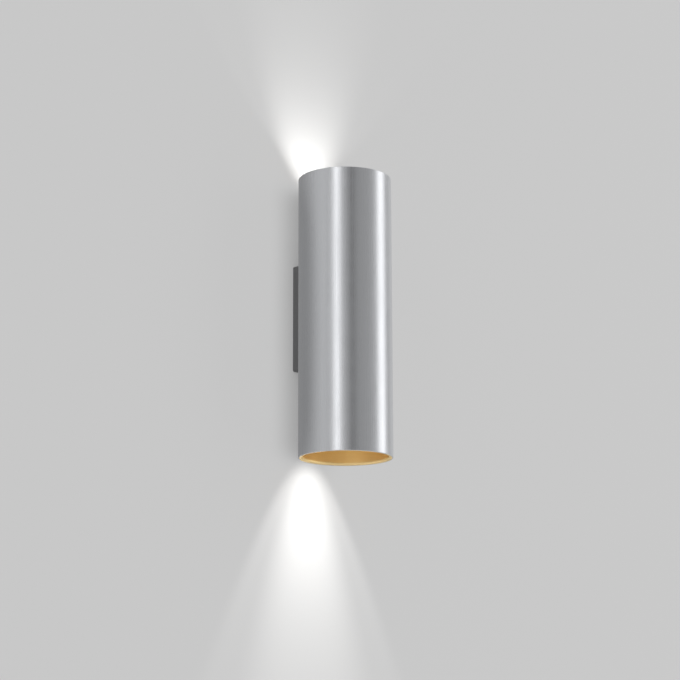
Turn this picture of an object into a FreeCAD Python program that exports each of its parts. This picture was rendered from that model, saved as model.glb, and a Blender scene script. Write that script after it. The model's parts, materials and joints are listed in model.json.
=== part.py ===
import FreeCAD, Part
import enum
import math
import os
import re
import Sketcher

# An up-and-down wall light: a plain aluminium tube on a cast saddle, with a lamp and a
# gold glare sleeve in each end. Millimetres; +Z is up, +Y goes into the wall, and the
# origin is on the wall, level with the tube's middle and midway between the two slots for
# the wall screws. Pieces inside the tube are drawn about the tube's own axis; the lower
# set is the upper one turned half a turn about Y.

# Driving dimensions.
SIZES = {
    # outer tube
    "tube_diameter": 80,
    "tube_wall": 2.5,
    "tube_length": 243,
    "tube_edge": 0.3,
    "rim_width": 1,
    "wall_gap": 6,
    # fits
    "seat_play": 0.05,
    "screw_play": 0.2,
    "lip_play": 0.1,
    "sleeve_play": 0.2,
    "ring_play": 0.06,
    "thread_play": 0.03,
    "thread_end": 0.5,
    # saddle
    "saddle_width": 35.3,
    "saddle_height": 92.9,
    "saddle_rise": 3.4,
    "saddle_wall": 2.5,
    "saddle_web": 1.8,
    "saddle_web_height": 50,
    "saddle_corner": 1.5,
    "saddle_land": 0.4,
    "pad_radius": 4.5,
    "pad_rise": 0.2,
    # wall plate
    "plate_thickness": 1.2,
    "plate_side_play": 1,
    "plate_end_play": 0.3,
    "plate_corner": 3,
    "tab_width": 12,
    "tab_gap": 0.8,
    "wall_screw_spacing": 60,
    "wall_slot_width": 4.5,
    "wall_slot_length": 10,
    # cable bush
    "cable_bore": 8,
    "bush_wall": 1.2,
    "bush_flange": 2.4,
    "bush_flange_thickness": 1,
    "bush_nose": 2,
    # wiring window through saddle, tube and frame
    "window_width": 24,
    "window_height": 20,
    "window_corner": 3,
    "window_step": 1,
    # screws: shank radius, head radius and head height
    "lock_shank": 1.5,
    "lock_head": 2.75,
    "lock_head_height": 1.7,
    "lock_length": 6,
    "frame_shank": 2,
    "frame_head": 3.5,
    "frame_head_height": 2.3,
    "frame_screw_spacing": 39,
    "holder_shank": 1.5,
    "holder_head": 2.6,
    "holder_head_height": 1.8,
    "holder_screw_length": 24,
    "block_shank": 1.25,
    "block_head": 2.2,
    "block_head_height": 1.4,
    "earth_shank": 2,
    "earth_head": 3.4,
    "earth_head_height": 2.2,
    "drive_depth": 1.1,
    "drive_width": 0.8,
    "drive_share": 0.55,
    "bevel_share": 0.35,
    "point_share": 0.4,
    # lamp frame
    "spine_thickness": 4,
    "spine_width": 30,
    "spine_height": 52,
    "shelf_top": 15.5,
    "shelf_thickness": 2,
    "shelf_radius": 24,
    "neck_width": 28,
    "lead_hole": 7,
    "rib_thickness": 2,
    "rib_offset": 11,
    "rib_reach": 14,
    "rib_rise": 8,
    "frame_web_front": 13,
    "frame_web_thickness": 2,
    "frame_web_width": 37,
    "boss_radius": 3.4,
    "boss_drop": 5.5,
    "earth_across": 14.5,
    "earth_ahead": 11,
    "earth_boss_radius": 3.8,
    "earth_boss_drop": 2,
    # terminal block
    "block_width": 26,
    "block_depth": 13,
    "block_height": 16,
    "block_ear": 6,
    "block_ear_thickness": 3,
    "block_ear_height": 7,
    "pole_pitch": 8,
    "clamp_width": 3.8,
    "clamp_height": 9.2,
    "clamp_depth": 7,
    "clamp_inset": 2.5,
    "clamp_play": 0.1,
    "port_radius": 1.6,
    "port_rise": 3,
    # lampholder
    "holder_length": 30,
    "holder_width": 20,
    "cover_height": 7,
    "holder_height": 20,
    "holder_edge": 0.6,
    "holder_screw_spacing": 22,
    "keyhole_lip": 2.5,
    "keyhole_play": 0.35,
    "cavity_width": 10,
    "cavity_length": 6,
    "cavity_depth": 5,
    "head_sink": 2.2,
    "contact_thickness": 0.6,
    "contact_width": 3,
    "contact_reach": 4,
    "contact_gap": 0.1,
    # lamp
    "pin_spacing": 10,
    "pin_diameter": 3,
    "foot_diameter": 5,
    "foot_height": 3,
    "foot_edge": 0.5,
    "foot_drop": 0.3,
    "pin_root": 5,
    "twist_angle": 30,
    "base_gap": 0.5,
    "lamp_length": 46.5,
    "lamp_diameter": 50,
    "base_length": 24,
    "base_width": 16,
    "base_block": 8,
    "collar_radius": 13,
    "collar_height": 5,
    "neck_wall": 1.5,
    "neck_overlap": 3,
    "flare_start": 4,
    "lamp_rim": 5,
    "cup_wall": 1.8,
    "cup_depth": 11,
    "lens_thickness": 1.5,
    "lens_ledge": 1.6,
    "bezel_height": 1.5,
    "bezel_width": 3.2,
    "bezel_edge": 0.4,
    "fin_count": 18,
    "fin_slot": 2.2,
    "fin_depth": 3,
    "fin_margin": 1.5,
    "board_thickness": 1.6,
    "chip_side": 3.4,
    "chip_rise": 0.8,
    "chip_offset": 6,
    # glare sleeve and its ring
    "sleeve_wall": 1.2,
    "sleeve_aperture": 46,
    "sleeve_corner": 4,
    "lip_thickness": 1.2,
    "lip_round": 2.2,
    "lamp_clearance": 1,
    "ring_section": 1.2,
    "ring_share": 0.4,
    "groove_play": 0.05,
    "groove_width": 1.6,
    "groove_slope": 0.4,
    "bead_slope": 1.6,
    # leads
    "lead_diameter": 1.9,
    "lead_bend": 5.5,
    "lead_ease": 12,
    "lead_straight": 5,
    "earth_lead_diameter": 2,
    "earth_lead_bend": 6,
    "earth_lead_reach": 20,
    "lug_thickness": 0.8,
    "lug_radius": 3.4,
    "lug_barrel": 1.6,
    "lug_neck": 4.5,
    "lug_barrel_length": 5,
}

# Sizes and places worked out from the driving dimensions.
WORKED = {
    "tube_radius": "tube_diameter / 2",
    "tube_bore": "tube_radius - tube_wall",
    "half_length": "tube_length / 2",
    "axis_to_wall": "tube_radius + wall_gap",
    "rebate_radius": "tube_radius - rim_width",
    "saddle_half_width": "saddle_width / 2",
    "saddle_half_height": "saddle_height / 2",
    "saddle_inner_width": "saddle_half_width - saddle_wall",
    "saddle_inner_height": "saddle_half_height - saddle_wall",
    "saddle_seat": "tube_radius + seat_play",
    "web_back": "tube_radius + saddle_web",
    "saddle_depth": "axis_to_wall - sqrt(saddle_seat ^ 2 - saddle_half_width ^ 2) - saddle_land",
    "pad_face": "wall_gap - saddle_web - pad_rise",
    "plate_half_width": "saddle_inner_width - plate_side_play",
    "plate_half_height": "saddle_inner_height - plate_end_play",
    "tab_height": "wall_gap - tab_gap",
    "lock_depth": "(tab_height + plate_thickness) / 2",
    "bush_outer": "cable_bore / 2 + bush_wall",
    "spine_outer": "tube_bore - seat_play",
    "spine_inner": "spine_outer - spine_thickness",
    "frame_screw_height": "frame_screw_spacing / 2",
    "frame_screw_length": "axis_to_wall - pad_face - spine_inner + thread_end",
    "shelf_under": "shelf_top - shelf_thickness",
    "frame_web_back": "frame_web_front + frame_web_thickness",
    "holder_top": "shelf_top + holder_height",
    "holder_split": "shelf_top + cover_height",
    "holder_screw_radius": "holder_screw_spacing / 2",
    "holder_hole": "holder_shank + screw_play",
    "head_recess": "holder_head + screw_play",
    "pin_radius": "pin_spacing / 2",
    "lip_bottom": "holder_top - keyhole_lip",
    "foot_top": "lip_bottom - foot_drop",
    "foot_bottom": "foot_top - foot_height",
    "keyhole_narrow": "pin_diameter / 2 + keyhole_play",
    "keyhole_wide": "foot_diameter / 2 + keyhole_play",
    "lamp_bottom": "holder_top + base_gap",
    "lamp_face": "lamp_bottom + lamp_length",
    "lamp_radius": "lamp_diameter / 2",
    "collar_bottom": "lamp_bottom + base_block",
    "collar_top": "collar_bottom + collar_height",
    "lens_top": "lamp_face - bezel_height",
    "lens_bottom": "lens_top - lens_thickness",
    "cup_radius": "lamp_radius - cup_wall",
    "cup_floor": "lens_top - cup_depth",
    "ledge_radius": "cup_radius - lens_ledge",
    "flare_bottom": "collar_top - neck_overlap + flare_start",
    "flare_top": "lens_top - lamp_rim",
    "neck_radius": "collar_radius + neck_wall",
    "sleeve_outer": "tube_bore - sleeve_play",
    "sleeve_inner": "sleeve_outer - sleeve_wall",
    "sleeve_floor": "lamp_face + lamp_clearance",
    "lip_radius": "rebate_radius - lip_play",
    "aperture_radius": "sleeve_aperture / 2",
    "sleeve_knee": "sleeve_floor + sleeve_corner",
    "lip_under": "half_length - lip_thickness",
    "ring_height": "sleeve_knee + (lip_under - sleeve_knee) * ring_share",
    "ring_outer": "tube_bore - ring_play",
    "ring_radius": "ring_outer - ring_section / 2",
    "groove_radius": "ring_outer - ring_section - groove_play",
    "bead_radius": "groove_radius - sleeve_wall",
    "clamp_front": "frame_web_back + clamp_inset",
    "contact_top": "foot_bottom - contact_gap",
    "contact_foot": "holder_split - cavity_depth / 2",
    "contact_near": "pin_radius - contact_reach / 2",
    "lead_across": "contact_near + contact_thickness / 2",
    "bezel_inner": "lamp_radius - bezel_width",
    "lens_radius": "cup_radius - seat_play",
    "ear_screw_across": "(block_width + block_ear) / 2",
    "lug_face": "shelf_under - earth_boss_drop",
    "barrel_height": "lug_face - lug_barrel",
}

ALIAS = re.compile(r"[a-z_]+")
ORIGIN = -1
CLOSE = 0.01
# How a sketch numbers the points of a line or an arc.
Spot = enum.IntEnum("Spot", ["START", "END", "CENTRE"])

doc = FreeCAD.newDocument("TubeWallLight")
sheet = doc.addObject("Spreadsheet::Sheet", "Sizes")


def fill_sheet():
    """Writes each driving dimension beside its name."""
    for row, (alias, number) in enumerate(SIZES.items(), start=1):
        sheet.set(f"A{row}", alias)
        sheet.set(f"B{row}", str(number))
        sheet.setAlias(f"B{row}", alias)
    doc.recompute()


def formula(text):
    """The text with each worked name opened out and each size read from the sheet."""
    def open_out(match):
        name = match.group(0)
        if name in WORKED:
            return f"({formula(WORKED[name])})"
        return f"Sizes.{name}" if name in SIZES else name
    return ALIAS.sub(open_out, text)


def value(text):
    """The number that a formula gives now."""
    return float(sheet.evalExpression(formula(text)))


def bind(item, target, text):
    """Ties a property to the sheet, so that it follows the sizes."""
    item.setExpression(target, formula(text))


def place(item, label, across="0", deep="0", high="0", turned=False):
    """Names a sub-part and puts its own origin at across, deep, high."""
    item.Label = label
    if turned:
        item.Placement = FreeCAD.Placement(FreeCAD.Vector(), FreeCAD.Rotation(FreeCAD.Vector(0, 1, 0), 180))
    for direction, text in zip("xyz", (across, deep, high)):
        bind(item, f"Placement.Base.{direction}", text)
    return item


def on_axis(item, label, turned=False):
    """Places a sub-part drawn about the tube's axis."""
    return place(item, label, deep="-(axis_to_wall)", turned=turned)


def new_body(name):
    """An empty body with its own origin planes."""
    return doc.addObject("PartDesign::Body", name)


def sketch_on(body, role, name, lift="0"):
    """A sketch on one of the body's own planes, lifted off it along the plane's normal."""
    plane = next(item for item in body.Origin.OriginFeatures if item.Role == role)
    sketch = body.newObject("Sketcher::SketchObject", name)
    sketch.AttachmentSupport = [(plane, "")]
    sketch.MapMode = "FlatFace"
    bind(sketch, "AttachmentOffset.Base.z", lift)
    return sketch


def pin_point(sketch, geometry, point, across, high):
    """Holds a point at its distances from the sketch's origin; a guess, marked ~, is left free."""
    for kind, text in (("DistanceX", across), ("DistanceY", high)):
        if text.startswith("~"):
            continue
        distance = Sketcher.Constraint(kind, ORIGIN, Spot.START, geometry, point, value(text))
        number = sketch.addConstraint(distance)
        bind(sketch, f"Constraints[{number}]", text)


def hold_radius(sketch, side, radius=None):
    """Fixes an arc's or a circle's radius, where it is given."""
    if radius is not None:
        number = sketch.addConstraint(Sketcher.Constraint("Radius", side, value(radius)))
        bind(sketch, f"Constraints[{number}]", radius)


def outline(sketch, corners, arcs=None):
    """Closes straight and round sides through the corners.

    arcs gives, for the side after a corner, the arc's centre, whether it runs left (anticlockwise)
    or right, and its radius where both its corners have a coordinate marked ~, a first guess that
    the arc settles.
    """
    arcs = arcs or {}
    spots = [(value(across.lstrip("~ ")), value(high.lstrip("~ "))) for across, high in corners]
    sides = []
    for number, start in enumerate(spots):
        finish = spots[(number + 1) % len(spots)]
        if number not in arcs:
            line = Part.LineSegment(FreeCAD.Vector(*start, 0), FreeCAD.Vector(*finish, 0))
            sides.append((sketch.addGeometry(line), Spot.START, Spot.END))
            continue
        across, high, way, *radius = arcs[number]
        centre = (value(across), value(high))
        first, last = (start, finish) if way == "left" else (finish, start)
        angles = [math.atan2(spot[1] - centre[1], spot[0] - centre[0]) for spot in (first, last)]
        circle = Part.Circle(FreeCAD.Vector(*centre, 0), FreeCAD.Vector(0, 0, 1), math.dist(first, centre))
        side = sketch.addGeometry(Part.ArcOfCircle(circle, *angles))
        pin_point(sketch, side, Spot.CENTRE, across, high)
        hold_radius(sketch, side, *radius)
        sides.append((side, Spot.START, Spot.END) if way == "left" else (side, Spot.END, Spot.START))
    for number, (side, start, finish) in enumerate(sides):
        after, its_start, _ = sides[(number + 1) % len(sides)]
        sketch.addConstraint(Sketcher.Constraint("Coincident", side, finish, after, its_start))
        pin_point(sketch, side, start, *corners[number])


def box_outline(sketch, half_width, half_height, across="0", high="0"):
    """A rectangle about a middle point."""
    left, right = f"{across} - ({half_width})", f"{across} + ({half_width})"
    low, top = f"{high} - ({half_height})", f"{high} + ({half_height})"
    outline(sketch, [(left, low), (right, low), (right, top), (left, top)])


def circle_outline(sketch, radius, across="0", high="0"):
    """A full circle about a point."""
    middle = FreeCAD.Vector(value(across), value(high), 0)
    circle = Part.Circle(middle, FreeCAD.Vector(0, 0, 1), value(radius))
    side = sketch.addGeometry(circle)
    pin_point(sketch, side, Spot.CENTRE, across, high)
    hold_radius(sketch, side, radius)


def slot_outline(sketch, half_length, half_width, across="0", high="0"):
    """An upright slot with round ends about a middle point."""
    straight = f"(({half_length}) - ({half_width}))"
    left, right = f"{across} - ({half_width})", f"{across} + ({half_width})"
    low, top = f"{high} - {straight}", f"{high} + {straight}"
    corners = [(right, low), (right, top), (f"~{left}", top), (f"~{left}", low)]
    outline(sketch, corners, {1: (across, top, "left"), 3: (across, low, "left")})


def pad(body, sketch, length, both=False, back=False):
    """Adds the sketch's shape, from its plane or half to each side of it."""
    feature = body.newObject("PartDesign::Pad", sketch.Name + "Pad")
    feature.Profile = sketch
    feature.SideType = "Symmetric" if both else "One side"
    feature.Reversed = back
    bind(feature, "Length", length)
    doc.recompute()
    return feature


def pocket(body, sketch, length=None, both=False, back=False):
    """Cuts the sketch's shape, to a depth or through everything, and makes sure that it cut."""
    before = body.Shape.Volume
    feature = body.newObject("PartDesign::Pocket", sketch.Name + "Cut")
    feature.Profile = sketch
    feature.SideType = "Symmetric" if both else "One side"
    feature.Reversed = back
    if length is None:
        feature.Type = "ThroughAll"
    else:
        bind(feature, "Length", length)
    doc.recompute()
    if body.Shape.Volume >= before:
        raise ValueError(f"{feature.Name} cuts nothing")
    return feature


def revolve(body, sketch, axis="V_Axis"):
    """Turns the sketch's shape right round an axis."""
    feature = body.newObject("PartDesign::Revolution", sketch.Name + "Turned")
    feature.Profile = sketch
    feature.ReferenceAxis = (sketch, [axis])
    feature.Angle = 360
    doc.recompute()
    return feature


def turned_body(name, corners, arcs=None):
    """A body turned about its own Z axis from corners of radius and height."""
    body = new_body(name)
    sketch = sketch_on(body, "XZ_Plane", name + "Profile")
    outline(sketch, corners, arcs)
    revolve(body, sketch)
    return body


def edges_where(shape, test):
    """The names of the edges that the test picks."""
    return [f"Edge{number}" for number, edge in enumerate(shape.Edges, start=1) if test(edge)]


def near(first, second):
    """Whether two places are the same."""
    return math.isclose(first, second, abs_tol=CLOSE)


def runs_along(edge, direction):
    """Whether an edge is straight and parallel to a direction."""
    if not isinstance(edge.Curve, Part.Line):
        return False
    return abs(abs(edge.Curve.Direction.dot(FreeCAD.Vector(*direction))) - 1) < 1e-6


def dress(body, kind, size, test):
    """Rounds (Fillet) or bevels (Chamfer) the edges that the test picks."""
    base = body.Tip
    feature = body.newObject(f"PartDesign::{kind}", f"{body.Name}{kind}{len(body.Group)}")
    feature.Base = (base, edges_where(base.Shape, test))
    bind(feature, "Radius" if kind == "Fillet" else "Size", size)
    doc.recompute()
    return feature


def screw(name, shank, head, head_height, length):
    """A screw along Z: its head's seat at the origin, head above, shank below, cross recess in the head."""
    bevel = f"{head_height} * bevel_share"
    point = f"{shank} * point_share"
    body = turned_body(name, [
        ("0", f"-({length})"),
        (f"{shank} - {point}", f"-({length})"),
        (shank, f"{point} - ({length})"),
        (shank, "0"),
        (head, "0"),
        (head, f"{head_height} - {bevel}"),
        (f"{head} - {bevel}", head_height),
        ("0", head_height),
    ])
    cross = sketch_on(body, "XY_Plane", name + "Cross", lift=head_height)
    arm, half = f"{head} * drive_share", "drive_width / 2"
    outline(cross, [
        (f"-{arm}", f"-{half}"), (f"-{half}", f"-{half}"), (f"-{half}", f"-{arm}"),
        (half, f"-{arm}"), (half, f"-{half}"), (arm, f"-{half}"),
        (arm, half), (half, half), (half, arm),
        (f"-{half}", arm), (f"-{half}", half), (f"-{arm}", half),
    ])
    pocket(body, cross, "drive_depth")
    return body


def aim(body, axis, angle, across="0", deep="0", high="0"):
    """Turns a piece about an axis and puts it at a place, inside its group."""
    body.Placement = FreeCAD.Placement(FreeCAD.Vector(), FreeCAD.Rotation(FreeCAD.Vector(*axis), angle))
    for direction, text in zip("xyz", (across, deep, high)):
        bind(body, f"Placement.Base.{direction}", text)
    return body


def group(name, members):
    """Several equal solids as one sub-part."""
    compound = doc.addObject("Part::Compound", name)
    compound.Links = members
    doc.recompute()
    return compound


def both_ways(text, middle="0"):
    """A distance above and the same below a middle, or to its right and its left."""
    return f"{middle} + ({text})", f"{middle} - ({text})"


def outer_tube():
    """The plain tube, stepped at each end for a sleeve's lip and open to the saddle at the back."""
    body = turned_body("OuterTube", [
        ("tube_bore", "-lip_under"),
        ("rebate_radius", "-lip_under"),
        ("rebate_radius", "-half_length"),
        ("tube_radius - tube_edge", "-half_length"),
        ("tube_radius", "tube_edge - half_length"),
        ("tube_radius", "half_length - tube_edge"),
        ("tube_radius - tube_edge", "half_length"),
        ("rebate_radius", "half_length"),
        ("rebate_radius", "lip_under"),
        ("tube_bore", "lip_under"),
    ])
    openings = sketch_on(body, "XZ_Plane", "TubeOpenings")
    for height in both_ways("frame_screw_height"):
        circle_outline(openings, "frame_shank + screw_play", high=height)
    box_outline(openings, "window_width / 2", "window_height / 2")
    pocket(body, openings)
    dress(body, "Fillet", "window_corner", lambda edge: runs_along(edge, (0, 1, 0)))
    return on_axis(body, "outer_tube")


def mounting_saddle():
    """The cast bracket that the tube sits in: hollow, with a web curved to the tube."""
    body = new_body("Saddle")
    block = sketch_on(body, "XZ_Plane", "SaddleBlock")
    box_outline(block, "saddle_half_width", "saddle_half_height", high="saddle_rise")
    pad(body, block, "saddle_depth")
    dress(body, "Fillet", "saddle_corner", lambda edge: runs_along(edge, (0, 1, 0)))
    hollow = sketch_on(body, "XZ_Plane", "SaddleHollow")
    box_outline(hollow, "saddle_inner_width", "saddle_inner_height", high="saddle_rise")
    pocket(body, hollow, back=True)
    end_holes = sketch_on(body, "XY_Plane", "SaddleEndHoles")
    circle_outline(end_holes, "lock_shank + screw_play", high="-lock_depth")
    pocket(body, end_holes, both=True)
    web = sketch_on(body, "XY_Plane", "SaddleWeb")
    side = "(saddle_inner_width + saddle_wall / 2)"
    back = f"~sqrt(web_back ^ 2 - {side} ^ 2) - axis_to_wall"
    corners = [(f"-{side}", back), (side, back), (side, "-saddle_depth"), (f"-{side}", "-saddle_depth")]
    outline(web, corners, {0: ("0", "-axis_to_wall", "right", "web_back")})
    pad(body, web, "saddle_web_height", both=True)
    seats = sketch_on(body, "XZ_Plane", "SaddleScrewPads", lift="pad_face")
    for height in both_ways("frame_screw_height"):
        circle_outline(seats, "pad_radius", high=height)
    pad(body, seats, "pad_rise + saddle_web")
    tube_seat = sketch_on(body, "XY_Plane", "SaddleTubeSeat")
    circle_outline(tube_seat, "saddle_seat", high="-axis_to_wall")
    pocket(body, tube_seat, both=True)
    openings = sketch_on(body, "XZ_Plane", "SaddleOpenings")
    for height in both_ways("frame_screw_height"):
        circle_outline(openings, "frame_shank + screw_play", high=height)
    box_outline(openings, "window_width / 2 + window_step", "window_height / 2 + window_step")
    pocket(body, openings, back=True)
    return place(body, "mounting_saddle")


def wall_plate():
    """The bent strip that is screwed to the wall and goes inside the saddle."""
    body = new_body("WallPlate")
    strip = sketch_on(body, "XZ_Plane", "PlateStrip")
    box_outline(strip, "plate_half_width", "plate_half_height - 2 * plate_thickness", high="saddle_rise")
    pad(body, strip, "plate_thickness")
    dress(body, "Fillet", "plate_corner", lambda edge: runs_along(edge, (0, 1, 0)))
    root = sketch_on(body, "XZ_Plane", "PlateTabRoot")
    box_outline(root, "tab_width / 2", "plate_half_height", high="saddle_rise")
    pad(body, root, "plate_thickness")
    tabs = sketch_on(body, "XZ_Plane", "PlateTabs")
    for height in both_ways("plate_half_height - plate_thickness / 2", middle="saddle_rise"):
        box_outline(tabs, "tab_width / 2", "plate_thickness / 2", high=height)
    pad(body, tabs, "tab_height")
    ends = [value(height) for height in both_ways("plate_half_height", middle="saddle_rise")]
    dress(body, "Fillet", "plate_thickness", lambda edge: runs_along(edge, (1, 0, 0))
          and near(edge.CenterOfMass.y, 0) and any(near(edge.CenterOfMass.z, end) for end in ends))
    threads = sketch_on(body, "XY_Plane", "PlateTabThreads")
    circle_outline(threads, "lock_shank + thread_play", high="-lock_depth")
    pocket(body, threads, both=True)
    openings = sketch_on(body, "XZ_Plane", "PlateOpenings")
    for height in both_ways("wall_screw_spacing / 2"):
        slot_outline(openings, "wall_slot_length / 2", "wall_slot_width / 2", high=height)
    circle_outline(openings, "bush_outer + seat_play")
    pocket(body, openings, back=True)
    return place(body, "wall_plate")


def cable_grommet():
    """The rubber bush in the wall plate's cable hole."""
    body = new_body("CableGrommet")
    flange_face = "-(plate_thickness + bush_flange_thickness)"
    profile = sketch_on(body, "XY_Plane", "GrommetProfile")
    outline(profile, [
        ("cable_bore / 2", "0"),
        ("bush_outer", "0"),
        ("bush_outer", "-plate_thickness"),
        ("bush_outer + bush_flange", "-plate_thickness"),
        ("bush_outer + bush_flange", flange_face),
        ("bush_outer", flange_face),
        ("(cable_bore + bush_wall) / 2", f"{flange_face} - bush_nose"),
        ("cable_bore / 2", f"{flange_face} - bush_nose"),
    ])
    revolve(body, profile)
    return place(body, "cable_grommet")


def saddle_lock_screws():
    """The screws through the saddle's ends into the wall plate's tabs."""
    members = []
    heights = both_ways("saddle_half_height", middle="saddle_rise")
    for end, angle, height in zip(("Top", "Bottom"), (0, 180), heights):
        one = screw(f"LockScrew{end}", "lock_shank", "lock_head", "lock_head_height", "lock_length")
        members.append(aim(one, (1, 0, 0), angle, deep="-lock_depth", high=height))
    return place(group("SaddleLockScrews", members), "saddle_lock_screws")


def frame_screws():
    """The screws that clamp the tube between the saddle and the lamp frame."""
    members = []
    for end, height in zip(("Top", "Bottom"), both_ways("frame_screw_height")):
        one = screw(f"FrameScrew{end}", "frame_shank", "frame_head", "frame_head_height",
                    "frame_screw_length")
        members.append(aim(one, (1, 0, 0), -90, deep="-(pad_face)", high=height))
    return place(group("FrameScrews", members), "frame_screws")


def spine_outline(sketch):
    """The curved bar that lies against the tube's inner wall."""
    half = "(spine_width / 2)"
    outer = f"~sqrt(spine_outer ^ 2 - {half} ^ 2)"
    inner = f"~sqrt(spine_inner ^ 2 - {half} ^ 2)"
    corners = [(half, outer), (f"-{half}", outer), (f"-{half}", inner), (half, inner)]
    outline(sketch, corners, {0: ("0", "0", "left", "spine_outer"), 2: ("0", "0", "right", "spine_inner")})


def shelf_outline(sketch):
    """A round shelf with a straight neck that runs back to the spine."""
    half = "(neck_width / 2)"
    root = f"~sqrt(shelf_radius ^ 2 - {half} ^ 2)"
    corners = [(half, root), (half, "spine_inner"), (f"-{half}", "spine_inner"), (f"-{half}", root)]
    outline(sketch, corners, {3: ("0", "0", "left", "shelf_radius")})


def lamp_frame():
    """The casting inside the tube: a spine, a ribbed shelf for each lampholder and a web between."""
    body = new_body("LampFrame")
    spine = sketch_on(body, "XY_Plane", "FrameSpine")
    spine_outline(spine)
    pad(body, spine, "spine_height", both=True)
    shelf = sketch_on(body, "XY_Plane", "FrameShelf", lift="shelf_under")
    shelf_outline(shelf)
    half_features = [pad(body, shelf, "shelf_thickness")]
    bosses = sketch_on(body, "XY_Plane", "FrameBosses", lift="shelf_under - boss_drop")
    for place_back in both_ways("holder_screw_radius"):
        circle_outline(bosses, "boss_radius", high=place_back)
    half_features.append(pad(body, bosses, "boss_drop"))
    for side, offset in zip(("Right", "Left"), both_ways("rib_offset")):
        rib = sketch_on(body, "YZ_Plane", f"FrameRib{side}", lift=offset)
        outline(rib, [
            ("spine_inner", "shelf_under"),
            ("spine_inner", "shelf_top + rib_rise"),
            ("spine_inner - spine_thickness", "shelf_top + rib_rise"),
            ("spine_inner - rib_reach", "shelf_top"),
            ("spine_inner - rib_reach", "shelf_under"),
        ])
        half_features.append(pad(body, rib, "rib_thickness", both=True))
    mirrored = body.newObject("PartDesign::Mirrored", "FrameLowerHalf")
    mirrored.Originals = half_features
    level = next(item for item in body.Origin.OriginFeatures if item.Role == "XY_Plane")
    mirrored.MirrorPlane = (level, [""])
    body.Tip = mirrored
    doc.recompute()
    web = sketch_on(body, "XY_Plane", "FrameWeb")
    middle = "(frame_web_front + frame_web_back) / 2"
    box_outline(web, "frame_web_width / 2", "frame_web_thickness / 2", high=middle)
    pad(body, web, "2 * shelf_under + shelf_thickness", both=True)
    earth_boss = sketch_on(body, "XY_Plane", "FrameEarthBoss", lift="shelf_under - earth_boss_drop")
    circle_outline(earth_boss, "earth_boss_radius", across="-earth_across", high="-earth_ahead")
    pad(body, earth_boss, "earth_boss_drop")
    earth_thread = sketch_on(body, "XY_Plane", "FrameEarthThread")
    circle_outline(earth_thread, "earth_shank + thread_play", across="-earth_across", high="-earth_ahead")
    pocket(body, earth_thread, back=True)
    upright = sketch_on(body, "XY_Plane", "FrameShelfHoles")
    circle_outline(upright, "lead_hole")
    for place_back in both_ways("holder_screw_radius"):
        circle_outline(upright, "holder_shank + thread_play", high=place_back)
    pocket(body, upright, both=True)
    back_holes = sketch_on(body, "XZ_Plane", "FrameSpineHoles", lift="-(frame_web_back + window_step)")
    for height in both_ways("frame_screw_height"):
        circle_outline(back_holes, "frame_shank + thread_play", high=height)
    box_outline(back_holes, "window_width / 2", "window_height / 2")
    pocket(body, back_holes)
    web_holes = sketch_on(body, "XZ_Plane", "FrameWebHoles")
    for across in both_ways("ear_screw_across"):
        circle_outline(web_holes, "block_shank + thread_play", across=across)
    box_outline(web_holes, "pole_pitch + clamp_width / 2 + window_step", "clamp_height / 2 + window_step")
    pocket(body, web_holes, "frame_web_back + window_step")
    return on_axis(body, "lamp_frame")


def terminal_block():
    """Three poles for the supply's wires, on the frame's web."""
    body = new_body("TerminalBlock")
    housing = sketch_on(body, "XY_Plane", "BlockHousing")
    box_outline(housing, "block_width / 2", "block_depth / 2", high="frame_web_back + block_depth / 2")
    pad(body, housing, "block_height", both=True)
    rear = value("frame_web_back + block_depth")
    dress(body, "Chamfer", "holder_edge", lambda edge: near(edge.BoundBox.YMin, rear))
    ears = sketch_on(body, "XY_Plane", "BlockEars")
    box_outline(ears, "block_width / 2 + block_ear", "block_ear_thickness / 2",
                high="frame_web_back + block_ear_thickness / 2")
    pad(body, ears, "block_ear_height", both=True)
    front = "-(frame_web_back)"
    chambers = sketch_on(body, "XZ_Plane", "BlockChambers", lift=front)
    ports = sketch_on(body, "XZ_Plane", "BlockPorts", lift=front)
    for pole in ("-pole_pitch", "0", "pole_pitch"):
        box_outline(chambers, "clamp_width / 2 + clamp_play", "clamp_height / 2 + clamp_play", across=pole)
        circle_outline(ports, "port_radius", across=pole)
    for across in both_ways("ear_screw_across"):
        circle_outline(ports, "block_shank + screw_play", across=across)
    pocket(body, chambers, "clamp_inset + clamp_depth")
    pocket(body, ports)
    return on_axis(body, "terminal_block")


def terminal_clamps():
    """The bored brass bars in the terminal block."""
    members = []
    for name, pole in (("Live", "-pole_pitch"), ("Earth", "0"), ("Neutral", "pole_pitch")):
        body = new_body(f"Clamp{name}")
        bar = sketch_on(body, "XY_Plane", f"Clamp{name}Bar")
        box_outline(bar, "clamp_width / 2", "clamp_depth / 2", across=pole,
                    high="clamp_front + clamp_depth / 2")
        pad(body, bar, "clamp_height", both=True)
        bore = sketch_on(body, "XZ_Plane", f"Clamp{name}Bore", lift="-(clamp_front + clamp_depth / 2)")
        circle_outline(bore, "port_radius - clamp_play", across=pole)
        pocket(body, bore)
        members.append(body)
    return on_axis(group("TerminalClamps", members), "terminal_clamps")


def terminal_block_screws():
    """The screws through the terminal block's ears."""
    members = []
    for side, across in zip(("Right", "Left"), both_ways("ear_screw_across")):
        grip = "block_ear_thickness + frame_web_thickness + block_shank"
        one = screw(f"BlockScrew{side}", "block_shank", "block_head", "block_head_height", grip)
        members.append(aim(one, (1, 0, 0), -90, across=across, deep="frame_web_back + block_ear_thickness"))
    return on_axis(group("TerminalBlockScrews", members), "terminal_block_screws")


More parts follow.
